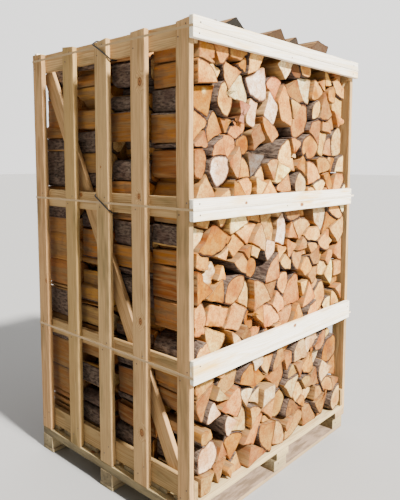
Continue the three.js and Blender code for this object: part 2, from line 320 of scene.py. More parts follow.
def board_mesh(name, node_name, along, rng, material, tone, hue, wane=(), pith=None, start=None):
    """A sawn board over its CAD node: wavy edges, softened arrises, and bark edges where 'wane' gives
    (corner, start, end, depth), with start and end as shares of the length."""
    grid, length, width, thickness = corners_of(node_name, along)
    count = max(5, int(length / STATION_STEP) + 1)
    inner = np.linspace(0, 1, count)
    chamfer = 0.0012 / length
    shares = np.concatenate([[0.0, chamfer], inner[1:-1], [1 - chamfer, 1.0]])
    places = shares * length
    inset = [EDGE_WOBBLE * wave(rng, places, 1.1, 0.09) for _ in range(2)]
    inset += [FACE_WOBBLE * wave(rng, places, 0.9, 0.11) for _ in range(2)]
    radii = [CORNER_RADIUS * (0.6 + 0.9 * wave(rng, places, 0.5, 0.06)) for _ in range(4)]
    for corner, wane_from, wane_to, depth in wane:
        middle = np.clip((shares - wane_from) / (wane_to - wane_from), 0, 1)
        radii[corner] = radii[corner] + depth * np.sin(np.pi * middle) ** 0.7 * (0.6 + 0.4 * wave(rng, places, 0.3, 0.05))
    end_inset = np.zeros(len(shares))
    end_inset[[0, -1]] = 0.0011

    low_v, high_v = inset[0] + end_inset, width - inset[1] - end_inset
    low_w, high_w = inset[2] + end_inset, thickness - inset[3] - end_inset
    v_columns, w_columns, edge_columns = [], [], []
    turns = [(low_v, low_w, 1, 1, 180), (high_v, low_w, -1, 1, 270), (high_v, high_w, -1, -1, 0), (low_v, high_w, 1, -1, 90)]
    for corner, (v0, w0, sv, sw, first_turn) in enumerate(turns):
        r = np.minimum(radii[corner], 0.45 * thickness)
        for step in range(ARC_STEPS):
            angle = math.radians(first_turn + 90 * step / (ARC_STEPS - 1))
            v_columns.append(v0 + sv * r + r * math.cos(angle))
            w_columns.append(w0 + sw * r + r * math.sin(angle))
            edge_columns.append(np.ones(len(shares)))
        following = turns[(corner + 1) % 4]
        next_r = np.minimum(radii[(corner + 1) % 4], 0.45 * thickness)
        last_v, last_w = v_columns[-1], w_columns[-1]
        first_angle = math.radians(following[4])
        first_v = following[0] + following[2] * next_r + next_r * math.cos(first_angle)
        first_w = following[1] + following[3] * next_r + next_r * math.sin(first_angle)
        between = (0.06, 0.35, 0.65, 0.94) if corner % 2 == 0 else (0.25, 0.75)
        for share in between:
            v_columns.append(last_v + (first_v - last_v) * share)
            w_columns.append(last_w + (first_w - last_w) * share)
            edge_columns.append(np.zeros(len(shares)))
    v = np.stack(v_columns, 1)
    w = np.stack(w_columns, 1)
    edge = np.stack(edge_columns, 1)
    stations, around = v.shape

    vs, ws, us = (v / width)[..., None], (w / thickness)[..., None], shares[:, None, None]
    points = 0
    for end, side, layer in np.ndindex(2, 2, 2):
        weight = (us if end else 1 - us) * (vs if side else 1 - vs) * (ws if layer else 1 - ws)
        points = points + weight * grid[end, side, layer]
    points = points.reshape(-1, 3)
    index = np.arange(stations * around).reshape(stations, around)
    near, far = index[:-1], index[1:]
    quads = np.stack([near, np.roll(near, -1, 1), np.roll(far, -1, 1), far], -1).reshape(-1, 4)
    hand = np.linalg.det(np.stack([
        (grid[0, 1, 0] - grid[0, 0, 0]), (grid[0, 0, 1] - grid[0, 0, 0]), (grid[1, 0, 0] - grid[0, 0, 0])]))
    caps = [index[0][::-1].tolist(), index[-1].tolist()]
    faces = quads.tolist() + caps
    if hand < 0:
        faces = [face[::-1] for face in faces]

    mesh = bpy.data.meshes.new(name)
    mesh.from_pydata(points.tolist(), [], faces)
    pith_v = width * rng.uniform(0.1, 0.9) if pith is None else pith
    pith_w = rng.choice([-1, 1]) * rng.uniform(0.02, 0.07) + thickness / 2
    start = rng.uniform(0, 40) if start is None else start
    ring = np.stack([v - pith_v, w - pith_w, np.broadcast_to((places + start)[:, None], v.shape)], -1)
    board = np.stack([np.full(v.shape, tone), np.full(v.shape, hue), edge], -1)
    for label, values in (("ring", ring), ("board", board)):
        layer = mesh.attributes.new(label, "FLOAT_VECTOR", "POINT")
        layer.data.foreach_set("vector", values.reshape(-1).astype(np.float32))
    mesh.polygons.foreach_set("use_smooth", np.ones(len(mesh.polygons), bool))
    mesh.set_sharp_from_angle(angle=math.radians(38))
    mesh.materials.append(material)
    piece = bpy.data.objects.new(name, mesh)
    bpy.context.scene.collection.objects.link(piece)
    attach(piece, "root")
    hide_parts(node_name)
    return piece


side_timber = timber_material("crate_timber", linear("CBA874"), linear("986A3C"), linear("86724A"), 0.85, 0.16, 0.10)
front_timber = timber_material("board_timber", linear("FFF9EA"), linear("F0D8A6"), linear("F2C468"), 0.95, 0.03, 0.05)
pallet_timber = timber_material("pallet_timber", linear("E3C998"), linear("B58F5C"), linear("9A8860"), 0.5, 0.3, 0.2,
                                low_darkening_and_painted_shade=0.55)
# Boards whose knots are known: distance of the pith from the board's edge, and each knot's height above
# that edge, place along the board and radius
KNOT_START = 0.6
SLAT_PITH, BOARD_PITH = 0.020, 0.012
SLAT_KNOTS = ((0.0289, 1.679, 0.0120), (0.0380, 1.227, 0.0085), (0.0357, 0.712, 0.0100), (0.0321, 0.2355, 0.0115))
BOARD_KNOTS = ((0.0244, 0.727, 0.0080), (0.055, 0.31, 0.0050))
FEW_KNOTS = 0.004


def known_knots(knots, pith):
    return tuple((across - pith, along + KNOT_START, radius) for across, along, radius in knots)


knotted_timber = timber_material(
    "knotted_slat_timber", linear("CBA874"), linear("986A3C"), linear("8E704A"), 0.8, 0.14, FEW_KNOTS,
    knots=known_knots(SLAT_KNOTS, SLAT_PITH))
knotted_board_timber = timber_material(
    "knotted_board_timber", linear("FFF9EA"), linear("F0D8A6"), linear("F2C468"), 0.95, 0.03, FEW_KNOTS,
    knots=known_knots(BOARD_KNOTS, BOARD_PITH))

# Tone and hue of the slats and rails that the left side shows: hue runs from -1, greenish, to 1, pinkish.
LOOKS = {
    "left_slat_1": (0.98, 0.35), "left_slat_2": (1.0, 0.25), "left_slat_3": (0.96, -0.25),
    "left_slat_4": (1.0, -0.6), "left_slat_5": (0.94, 0.45), "left_brace": (0.9, 0.35),
    "left_rail_top": (0.98, -0.2), "left_rail_upper": (0.98, -0.3), "left_rail_lower": (0.95, -0.35),
    "left_rail_bottom": (0.82, -0.45),
}
WANES = {
    "left_slat_2": ((0, 0.02, 0.30, 0.004), (0, 0.52, 0.98, 0.006)),
    "left_slat_4": ((0, 0.0, 0.45, 0.008), (1, 0.3, 0.7, 0.004)),
    "left_slat_3": ((0, 0.1, 0.5, 0.005),),
    "right_slat_2": ((1, 0.4, 0.9, 0.007),),
    "back_board_upper": ((2, 0.1, 0.6, 0.006),),
}
FRONT_TINT = {"front_board_top": (1.0, 0.0), "front_board_upper": (1.03, 0.05), "front_board_lower": (0.98, -0.1)}
KNOTTED = {"left_slat_2": (knotted_timber, SLAT_PITH), "front_board_upper": (knotted_board_timber, BOARD_PITH)}
ALONG = (("_slat_", "z", "crate_timber"), ("_rail_", "y", "crate_timber"), ("_brace", "z", "crate_timber"),
         ("_board_", "x", "board_timber"), ("deck_board_", "x", "pallet_timber"), ("skid_", "x", "pallet_timber"),
         ("stringer_", "y", "pallet_timber"), ("block_", "x", "pallet_timber"))
TIMBERS = {"crate_timber": side_timber, "board_timber": front_timber, "pallet_timber": pallet_timber}

wood_rng = np.random.default_rng(17)
for node_name in sorted(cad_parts):
    kinds = [kind for kind in ALONG if kind[0] in node_name]
    if not kinds:
        continue
    _, along, slot = kinds[-1] if node_name.startswith("deck") else kinds[0]
    tone, hue = LOOKS.get(node_name, (wood_rng.uniform(0.86, 1.04), wood_rng.uniform(-0.6, 0.6)))
    if node_name in FRONT_TINT:
        tone, hue = FRONT_TINT[node_name]
    material, pith = KNOTTED.get(node_name, (TIMBERS[slot], None))
    board_mesh(f"sawn_{node_name}", node_name, along, wood_rng, material, tone, hue,
               WANES.get(node_name, ()), pith, None if pith is None else KNOT_START)

# ---------------------------------------------------------------- split logs: packing the rows
MAX_CORNERS = 10
LOG_SCALE = 1.05
FILL = 0.82
CREST_BASE = 1.925
CREST_START = 1.9855 # the corners of a row's outline below this height belong to its sides
SHRINK = 0.0004
CORNER_SHAKE = 0.005
LOG_SIZES = (0.72, 0.85, 1.0, 1.0, 1.12)
CORNER_ROUNDING = 0.0050
BARK_RADIUS = 0.085
SWELL_ROUNDS, LAST_ROW_ROUNDS, SWELL_STEP, SWELL_LIMIT = 8, 12, 0.0016, 0.0022
WALL_REACH, WALL_LIMIT = 0.038, 0.036 # logs beside the rails may grow this much more, up to the wall
LOG_GAP = 0.0056 # between the outlines of neighbouring logs
# Beside the left wall of the last row the logs lie closer, and may grow more
TIGHT_GAP, TIGHT_LIMIT, TIGHT_WIDTH = 0.0010, 0.0085, 0.16
BURIED_DEPTH, BURIED_SHARE = 0.004, 0.22 # a log with this share of its outline so deep in others is left out
LEVEL_STEP = 0.004
FILLER_DEPTH, FILLER_HEIGHT = (0.010, 0.085), 0.022 # hollows at the wall that take another thin split


def arc(radius, start, end, count):
    angles = np.linspace(start, end, count)
    return np.stack([np.cos(angles), np.sin(angles)], 1) * radius


def log_section(rng):
    """One log's section: its corners, where its heart is, and which corners are on bark."""
    kind = rng.choice(6, p=[0.42, 0.15, 0.17, 0.17, 0.08, 0.01])
    heart = np.zeros(2)
    if kind == 0:  # a wedge split right to the heart
        radius, half = rng.uniform(0.095, 0.135), np.radians(rng.uniform(24, 44))
        tip = [rng.uniform(-0.004, 0.01), rng.uniform(-0.008, 0.008)]
        points, bark = np.vstack([[tip], arc(radius, -half, half, 5)]), [1, 2, 3, 4, 5]
    elif kind == 1:  # half a log
        radius, tilt = rng.uniform(0.055, 0.078), rng.uniform(-0.15, 0.15)
        points, bark = arc(radius, -np.pi / 2 + tilt, np.pi / 2 - rng.uniform(-0.1, 0.2), 7), list(range(7))
    elif kind == 2:  # an outer split, with the heart side split off
        radius, half = rng.uniform(0.11, 0.15), np.radians(rng.uniform(20, 34))
        cut, skew = radius * rng.uniform(0.38, 0.55), rng.uniform(-0.012, 0.012)
        points = np.vstack([[cut + skew, -np.tan(half) * cut], arc(radius, -half, half, 5),
                            [cut - skew, np.tan(half) * cut]])
        bark = [1, 2, 3, 4, 5]
    elif kind == 3:  # an inner wedge with no bark
        radius, half = rng.uniform(0.08, 0.12), np.radians(rng.uniform(22, 38))
        points = np.array([[0, 0], [radius * np.cos(half) * rng.uniform(0.9, 1.05), -radius * np.sin(half)],
                           [radius * np.cos(half), radius * np.sin(half) * rng.uniform(0.8, 1.1)]])
        bark = []
    elif kind == 4:  # a squarish split
        half_size = np.array([rng.uniform(0.0275, 0.0425), rng.uniform(0.0375, 0.06)])
        points = np.array([[-1, -1], [1, -1], [1, 1], [-1, 1]]) * half_size + rng.uniform(-0.012, 0.012, (4, 2))
        bark, heart = [], np.array([-0.09, 0])
    else:  # a small whole round
        points, bark = arc(rng.uniform(0.026, 0.042), 0, 2 * np.pi * 8 / 9, 9), list(range(9))
    points, heart = points * LOG_SCALE, heart * LOG_SCALE
    squeeze = rng.uniform(0.84, 1.16)
    size = rng.choice(LOG_SIZES)
    points, heart = points * size, heart * size
    loose = [i for i in range(len(points)) if i not in bark]
    points[loose] += rng.uniform(-CORNER_SHAKE, CORNER_SHAKE, (len(loose), 2))
    return points * [squeeze, 1 / squeeze], heart * [squeeze, 1 / squeeze], bark


def area_and_centre(p):
    q = np.roll(p, -1, 0)
    cross = p[:, 0] * q[:, 1] - q[:, 0] * p[:, 1]
    area = cross.sum() / 2
    return area, ((p + q) * cross[:, None]).sum(0) / (6 * area)


def make_logs(rng, total):
    logs, area = [], 0
    while area < total:
        points, heart, bark = log_section(rng)
        own, centre = area_and_centre(points)
        logs.append({"points": points - centre, "heart": heart - centre, "bark": bark})
        area += own
    return logs


def padded(polygons):
    base = np.zeros((len(polygons), MAX_CORNERS, 2))
    for i, points in enumerate(polygons):
        base[i, :len(points)] = points
        base[i, len(points):] = points[-1]
    return base


def placed(base, position, angle, scale):
    c, s = np.cos(angle)[:, None], np.sin(angle)[:, None]
    b = base * scale
    return np.stack([b[..., 0] * c - b[..., 1] * s, b[..., 0] * s + b[..., 1] * c], -1) + position[:, None]


def faces_of(corners):
    """Outward normals of the edges and their offsets. Edges of no length repeat the first."""
    edge = np.roll(corners, -1, 1) - corners
    length = np.hypot(edge[..., 0], edge[..., 1])
    normal = np.stack([edge[..., 1], -edge[..., 0]], -1) / np.maximum(length, 1e-9)[..., None]
    none = length < 1e-6
    normal[none] = np.broadcast_to(normal[:, :1], normal.shape)[none]
    offset = (normal * corners).sum(-1)
    offset[none] = np.broadcast_to(offset[:, :1], offset.shape)[none]
    return normal, offset


def touching_span(corners, direction, tolerance=0.004):
    """Span across the direction of the corners that lie furthest along it."""
    depth = (corners * direction[:, None]).sum(-1)
    side = corners[..., 1] * direction[:, None, 0] - corners[..., 0] * direction[:, None, 1]
    far = depth.max(1, keepdims=True) - depth < tolerance
    return np.where(far, side, np.inf).min(1), np.where(far, side, -np.inf).max(1), depth.max(1)


def separate(corners, position, fixed, reach, inertia, walls, ceiling, push=0.5):
    """How far each log moves and turns to leave its neighbours, the walls and the crest."""
    normal, offset = faces_of(corners)
    apart = np.hypot(*(position[:, None] - position[None]).transpose(2, 0, 1))
    first, second = np.nonzero(np.triu(apart < reach[:, None] + reach[None], 1))
    free = ~(fixed[first] & fixed[second])
    first, second = first[free], second[free]
    depth_1 = offset[first] - np.einsum("pkc,pmc->pkm", normal[first], corners[second]).min(2)
    depth_2 = offset[second] - np.einsum("pkc,pmc->pkm", normal[second], corners[first]).min(2)
    face_1, face_2 = depth_1.argmin(1), depth_2.argmin(1)
    every = np.arange(len(first))
    least_1, least_2 = depth_1[every, face_1], depth_2[every, face_2]
    depth = np.minimum(least_1, least_2)
    hit = depth > 0
    first, second, face_1, face_2, depth = [a[hit] for a in (first, second, face_1, face_2, depth)]
    use_first = (least_1 <= least_2)[hit]
    direction = np.where(use_first[:, None], normal[first, face_1], -normal[second, face_2])
    low_1, high_1, reach_1 = touching_span(corners[first], direction)
    low_2, high_2, _ = touching_span(corners[second], -direction)
    low_2, high_2 = -high_2, -low_2
    side = (np.maximum(low_1, low_2) + np.minimum(high_1, high_2)) / 2
    across = np.stack([-direction[:, 1], direction[:, 0]], 1)
    contact = direction * (reach_1 - depth / 2)[:, None] + across * side[:, None]
    move, turn = np.zeros_like(position), np.zeros(len(position))
    share_1 = np.where(fixed[first], 0.0, np.where(fixed[second], 1.0, 0.5))
    share_2 = np.where(fixed[second], 0.0, np.where(fixed[first], 1.0, 0.5))
    for logs, share, sign in ((first, share_1, -1), (second, share_2, 1)):
        step = direction * (depth * push * share * sign)[:, None]
        arm = contact - position[logs]
        np.add.at(move, logs, step)
        np.add.at(turn, logs, (arm[:, 0] * step[:, 1] - arm[:, 1] * step[:, 0]) / inertia[logs])
    for wall_normal, wall_offset, low, high in walls:
        inside = (corners[..., 1] > low) & (corners[..., 1] < high)
        press(corners, np.where(inside, wall_offset - corners @ wall_normal, 0), wall_normal, position, fixed,
              inertia, move, turn, push)
    over = corners[..., 1] - np.interp(corners[..., 0], ceiling[:, 0], ceiling[:, 1])
    press(corners, over, np.array([0.0, -1.0]), position, fixed, inertia, move, turn, push)
    return move, np.clip(turn, -0.06, 0.06)


def press(corners, depth, direction, position, fixed, inertia, move, turn, push):
    """Adds what a wall pushes: depth is how far each corner is behind it."""
    most = depth.max(1)
    logs = np.nonzero((most > 0) & ~fixed)[0]
    if not len(logs):
        return
    weight = np.maximum(depth[logs] - most[logs, None] * 0.5, 0)
    contact = (corners[logs] * weight[..., None]).sum(1) / weight.sum(1)[:, None]
    step = direction[None] * (most[logs] * min(1, push * 1.6))[:, None]
    arm = contact - position[logs]
    move[logs] += step
    turn[logs] += (arm[:, 0] * step[:, 1] - arm[:, 1] * step[:, 0]) / inertia[logs]


def row_container(node_name):
    """Walls, floor and crest line of a row, read from its CAD solid's outline."""
    points = np.unique(np.round([(v.co.x, v.co.z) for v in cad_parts[node_name].data.vertices], 5), axis=0)
    outer = np.abs(points[:, 0]).max()
    floor = points[:, 1].min()
    centre = (points[:, 0].max() + points[:, 0].min()) / 2
    half = (points[:, 0].max() - points[:, 0].min()) / 2
    side = np.abs(points[:, 0] - centre)
    below = points[:, 1] < CREST_START
    steps = side[(side < half - 0.004) & (side > half - 0.05) & below]
    inner = steps.min() if len(steps) else half
    top = points[(points[:, 1] > 1.9845)]
    crest = top[np.argsort(top[:, 0])]
    walls = [(np.array([0.0, 1.0]), floor, -9, 9)]
    for sign in (1, -1):
        walls.append((np.array([sign * 1.0, 0.0]), sign * centre - half, -9, 9))
        notch = points[(np.abs(side - inner) < 0.001) & (np.sign(points[:, 0] - centre) == -sign) & below]
        if len(steps) and len(notch) > 1:
            low, high = notch[:, 1].min(), notch[:, 1].max()
            walls.append((np.array([sign * 1.0, 0.0]), sign * centre - inner, low, 9 if high > 1.98 else high))
    return centre, half, floor, crest, walls, outer


def crest_logs(crest, rng):
    """A fixed log under each peak of the crest line."""
    made = []
    for i in range(1, len(crest) - 1):
        before, peak, after = crest[i - 1], crest[i], crest[i + 1]
        if peak[1] <= before[1] or peak[1] <= after[1] or peak[1] < 2.02:
            continue
        left = before + (peak - before) * 0.06
        right = after + (peak - after) * 0.06
        low = CREST_BASE + rng.uniform(0, 0.03)
        made.append(np.array([left, left * 0.72 + np.array([peak[0], low]) * 0.28 - [0, 0.035],
                              [peak[0] + rng.uniform(-0.01, 0.01), low],
                              right * 0.72 + np.array([peak[0], low]) * 0.28 - [0, 0.035], right, peak - [0, 0.002]]))
    return made


INFLATE_STEPS, SETTLE_STEPS = 740, 300


def pack_row(node_name, seed, steps, settle):
    """Fills a row with logs: they start small and spread out, and grow until they lie against each other."""
    rng = np.random.default_rng(seed)
    centre, half, floor, crest, walls, _ = row_container(node_name)
    tops = crest_logs(crest, rng)
    top_area = sum(abs(area_and_centre(p)[0]) for p in tops)
    line = crest.copy()
    height = np.interp(np.linspace(-half, half, 200) + centre, line[:, 0], line[:, 1]).mean() - floor
    logs = make_logs(rng, 2 * half * height * FILL - top_area)
    loose = len(logs)
    for points in tops:
        _, middle = area_and_centre(points)
        logs.append({"points": points - middle, "heart": np.array([0.0, -0.05]), "bark": [], "place": middle})
    count = len(logs)
    base = padded([log["points"] for log in logs])
    reach = np.array([np.hypot(*log["points"].T).max() for log in logs])
    inertia = np.array([(log["points"] ** 2).sum(1).mean() for log in logs]) * 0.6
    columns = int(np.ceil(np.sqrt(loose * 2 * half / (height - 0.05))))
    lines = int(np.ceil(loose / columns))
    grid = np.stack(np.meshgrid((np.arange(columns) + 0.5) / columns, (np.arange(lines) + 0.5) / lines), -1).reshape(-1, 2)
    grid = grid[rng.permutation(len(grid))[:loose]] + rng.uniform(-0.25, 0.25, (loose, 2)) / [columns, lines]
    position = np.array([centre - half, floor]) + grid * [2 * half, height - 0.05]
    angle = rng.uniform(0, 2 * np.pi, loose)
    fixed = np.arange(count) >= loose
    position = np.vstack([position, *[log["place"][None] for log in logs[loose:]]])
    angle = np.concatenate([angle, np.zeros(count - loose)])
    for step in range(steps + settle):
        scale = np.where(fixed, 1.0, 0.55 + 0.45 * min(1, step / steps) ** 0.8)
        corners = placed(base, position, angle, scale[:, None, None])
        move, turn = separate(corners, position, fixed, reach * scale, inertia * scale ** 2, walls, line)
        heat = max(0, 1 - step / (steps + settle * 0.5))
        position = position + move + rng.normal(0, 0.0009 * heat, (count, 2)) * ~fixed[:, None]
        angle = angle + (turn + rng.normal(0, 0.012 * heat, count)) * ~fixed
    corners = placed(base, position, angle, 1.0)
    for i, log in enumerate(logs):
        c, s = math.cos(angle[i]), math.sin(angle[i])
        log["corners"] = corners[i, :len(log["points"])]
        log["outline"], log["on_bark"] = rounded_outline(log["corners"], log["bark"], rng)
        log["heart"] = position[i] + [log["heart"][0] * c - log["heart"][1] * s, log["heart"][0] * s + log["heart"][1] * c]
    last_row = node_name == row_names[-1]
    logs = without_buried(logs)
    if last_row:
        swell(logs, walls, line, LAST_ROW_ROUNDS, centre - half + TIGHT_WIDTH)
    else:
        swell(logs, walls, line, SWELL_ROUNDS, -np.inf)
    if last_row:
        logs += side_fillers(logs, walls, floor, rng)
    return logs


# ---------------------------------------------------------------- split logs: meshes
POINT_PITCH = 0.0075
LOG_LENGTH = 0.247
SET_BACK, ROW_REACH = 0.036, 0.262
# Logs of the last row that lie below the high end of the left brace turn their far ends out under it
YAWED, YAWED_SHIFT, NOTCH_DEPTH = (1.33, 1.72), -0.021, 0.040
LOG_STATIONS = (0.0, 0.0016, 0.06, 0.12, 0.18, LOG_LENGTH - 0.0016, LOG_LENGTH)
PALETTE = (("D2A068", 0.25), ("DDB678", 0.22), ("B98A56", 0.15), ("E8C88C", 0.13), ("F2DCAE", 0.09),
           ("CA9C58", 0.07), ("F6EACE", 0.06), ("8E6A46", 0.03))
TONES = [np.array(linear(name)[:3]) for name, _ in PALETTE]
SHARES = np.array([share for _, share in PALETTE])
SHARES = SHARES / SHARES.sum()


def rounded_outline(corners, bark, rng):
    """An even run of points round a log's section, with softened corners, and how much each is bark."""
    count = len(corners)
    dense, on_bark = [], []
    bark = set(bark)
    for i in range(count):
        before, here, after = corners[i - 1], corners[i], corners[(i + 1) % count]
        back, ahead = before - here, after - here
        len_back, len_ahead = np.hypot(*back), np.hypot(*ahead)
        radius = min(CORNER_ROUNDING, 0.3 * len_back, 0.3 * len_ahead)
        enter, leave = here + back / len_back * radius, here + ahead / len_ahead * radius
        t = np.linspace(0, 1, 5)[:, None]
        dense.append((1 - t) ** 2 * enter + 2 * t * (1 - t) * here + t ** 2 * leave)
        next_i = (i + 1) % count
        edge_bark = i in bark and next_i in bark and (abs(i - next_i) == 1 or len(bark) == count)
        last_bark = (i - 1) % count in bark and i in bark and (i > 0 or len(bark) == count)
        on_bark += [last_bark] * 2 + [last_bark or edge_bark] + [edge_bark] * 2
        next_radius = min(CORNER_ROUNDING, 0.3 * len_ahead, 0.3 * np.hypot(*(corners[(i + 2) % count] - after)))
        far = after - ahead / len_ahead * next_radius
        middle = np.linspace(0, 1, 8)[1:-1, None]
        bow = -len_ahead ** 2 / (8 * BARK_RADIUS) if edge_bark else rng.uniform(-0.002, 0.0045)
        inward = np.array([-ahead[1], ahead[0]]) / len_ahead
        wobble = np.sin(np.pi * middle) * bow + 0.0008 * np.sin(middle * rng.uniform(8, 16) + rng.uniform(0, 6)) * np.sin(np.pi * middle)
        dense.append(leave + (far - leave) * middle + inward * wobble)
        on_bark += [edge_bark] * 6
    dense = np.vstack(dense)
    closed = np.vstack([dense, dense[:1]])
    distance = np.concatenate([[0], np.cumsum(np.hypot(*np.diff(closed, axis=0).T))])
    total = int(np.clip(distance[-1] / POINT_PITCH, 18, 48))
    at = np.linspace(0, distance[-1], total, endpoint=False)
    outline = np.stack([np.interp(at, distance, closed[:, k]) for k in (0, 1)], 1)
    flags = np.interp(at, distance, np.append(on_bark, on_bark[0]).astype(float))
    return outline, flags


def offset_inward(outline, amount):
    edge = np.roll(outline, -1, 0) - np.roll(outline, 1, 0)
    normal = np.stack([-edge[:, 1], edge[:, 0]], 1) / np.maximum(np.hypot(*edge.T), 1e-9)[:, None]
    return outline + normal * amount


def outward_of(outline):
    edge = np.roll(outline, -1, 0) - np.roll(outline, 1, 0)
    return np.stack([edge[:, 1], -edge[:, 0]], 1) / np.maximum(np.hypot(*edge.T), 1e-9)[:, None]


def clearance(points, starts, stops):
    """Signed distance of points from the nearest of the outline stretches: below zero inside a log."""
    run = stops - starts
    share = ((points[:, None] - starts) * run).sum(-1) / np.maximum((run ** 2).sum(-1), 1e-12)
    away = points[:, None] - (starts + np.clip(share, 0, 1)[..., None] * run)
    distance = np.hypot(away[..., 0], away[..., 1])
    nearest = distance.argmin(1)
    every = np.arange(len(points))
    outward = np.stack([run[:, 1], -run[:, 0]], 1)[nearest]
    return distance[every, nearest] * np.where((away[every, nearest] * outward).sum(1) < 0, -1, 1)


def without_buried(logs):
    """The logs without those that the packing left lying in their neighbours, smallest first."""
    kept = list(logs)
    for log in sorted(logs, key=lambda item: area_and_centre(item["outline"])[0]):
        if "place" in log:
            continue
        centre = log["outline"].mean(0)
        others = [o["outline"] for o in kept if o is not log and np.hypot(*(o["outline"].mean(0) - centre)) < 0.25]
        free = clearance(log["outline"], np.concatenate(others), np.concatenate([np.roll(o, -1, 0) for o in others]))
        if (free < -BURIED_DEPTH).mean() > BURIED_SHARE:
            kept = [o for o in kept if o is not log]
    return kept


def swell(logs, walls, ceiling, rounds, tight_side):
    """Lets each outline grow into the free space round it, and draws it back where it lies in another."""
    grown = [np.zeros(len(log["outline"])) for log in logs]
    centres = np.array([log["outline"].mean(0) for log in logs])
    reach = np.array([np.hypot(*(log["outline"] - c).T).max() for log, c in zip(logs, centres)])
    apart = np.hypot(*(centres[:, None] - centres[None]).transpose(2, 0, 1))
    close = (apart < reach[:, None] + reach[None] + 0.02) & ~np.eye(len(logs), dtype=bool)
    for _ in range(rounds):
        moved = []
        for i, log in enumerate(logs):
            outline = log["outline"]
            others = [logs[k]["outline"] for k in np.nonzero(close[i])[0]]
            free = clearance(outline, np.concatenate(others), np.concatenate([np.roll(o, -1, 0) for o in others]))
            tight = outline[:, 0] < tight_side
            room = (free - np.where(tight, TIGHT_GAP, LOG_GAP)) / 2
            limit = np.where(tight, TIGHT_LIMIT, SWELL_LIMIT)
            for normal, offset, low, high in walls:
                beside = (outline[:, 1] > low) & (outline[:, 1] < high)
                to_wall = outline @ normal - offset
                room = np.where(beside, np.minimum(room, to_wall), room)
                limit[beside & (to_wall < WALL_REACH) & (abs(normal[0]) > 0.5)] = WALL_LIMIT
            over = np.interp(outline[:, 0], ceiling[:, 0], ceiling[:, 1]) - outline[:, 1]
            room = np.minimum(room, over)
            step = np.clip(room, -2 * SWELL_STEP, np.minimum(SWELL_STEP, limit - grown[i]))
            if "place" in log:
                step = np.minimum(step, 0)
            soft = (np.roll(step, 1) + 2 * step + np.roll(step, -1)) / 4
            step = np.where(step > 0, np.minimum(step, soft), step)
            grown[i] = grown[i] + step
            moved.append(outline + outward_of(outline) * step[:, None])
        for log, outline in zip(logs, moved):
            log["outline"] = outline


def side_fillers(logs, walls, floor, rng):
    """Thin splits pushed into the hollows that a row leaves against its left wall."""
    starts = np.concatenate([log["outline"] for log in logs])
    stops = np.concatenate([np.roll(log["outline"], -1, 0) for log in logs])
    levels = np.arange(floor + 0.004, CREST_START - 0.004, LEVEL_STEP)
    crosses = (starts[None, :, 1] <= levels[:, None]) != (stops[None, :, 1] <= levels[:, None])
    rise = np.where(crosses, stops[None, :, 1] - starts[None, :, 1], 1.0)
    at = starts[None, :, 0] + (levels[:, None] - starts[None, :, 1]) / rise * (stops - starts)[None, :, 0]
    nearest = np.where(crosses, at, np.inf).min(1)
    wall = np.full(len(levels), -np.inf)
    for normal, offset, low, high in walls:
        if normal[0] > 0.5:
            wall = np.where((levels > low) & (levels < high), np.maximum(wall, offset), wall)
    depth = np.minimum(nearest - wall, FILLER_DEPTH[1])
    hollow = np.concatenate([[False], depth > FILLER_DEPTH[0], [False]])
    edges = np.nonzero(np.diff(hollow.astype(int)))[0].reshape(-1, 2)
    made = []
    for first, last in edges:
        if (last - first) * LEVEL_STEP < FILLER_HEIGHT:
            continue
        rows = np.unique(np.linspace(first + 1, last - 2, 6).astype(int))
        inner = np.stack([wall[rows] + depth[rows] - TIGHT_GAP, levels[rows]], 1)
        outer = np.stack([wall[rows[[-1, 0]]] + 0.001, levels[rows[[-1, 0]]]], 1)
        corners = np.vstack([inner, outer])
        log = {"corners": corners, "bark": [], "heart": corners.mean(0) + [0.09, 0.0]}
        log["outline"], log["on_bark"] = rounded_outline(corners, [], rng)
        made.append(log)
    return made


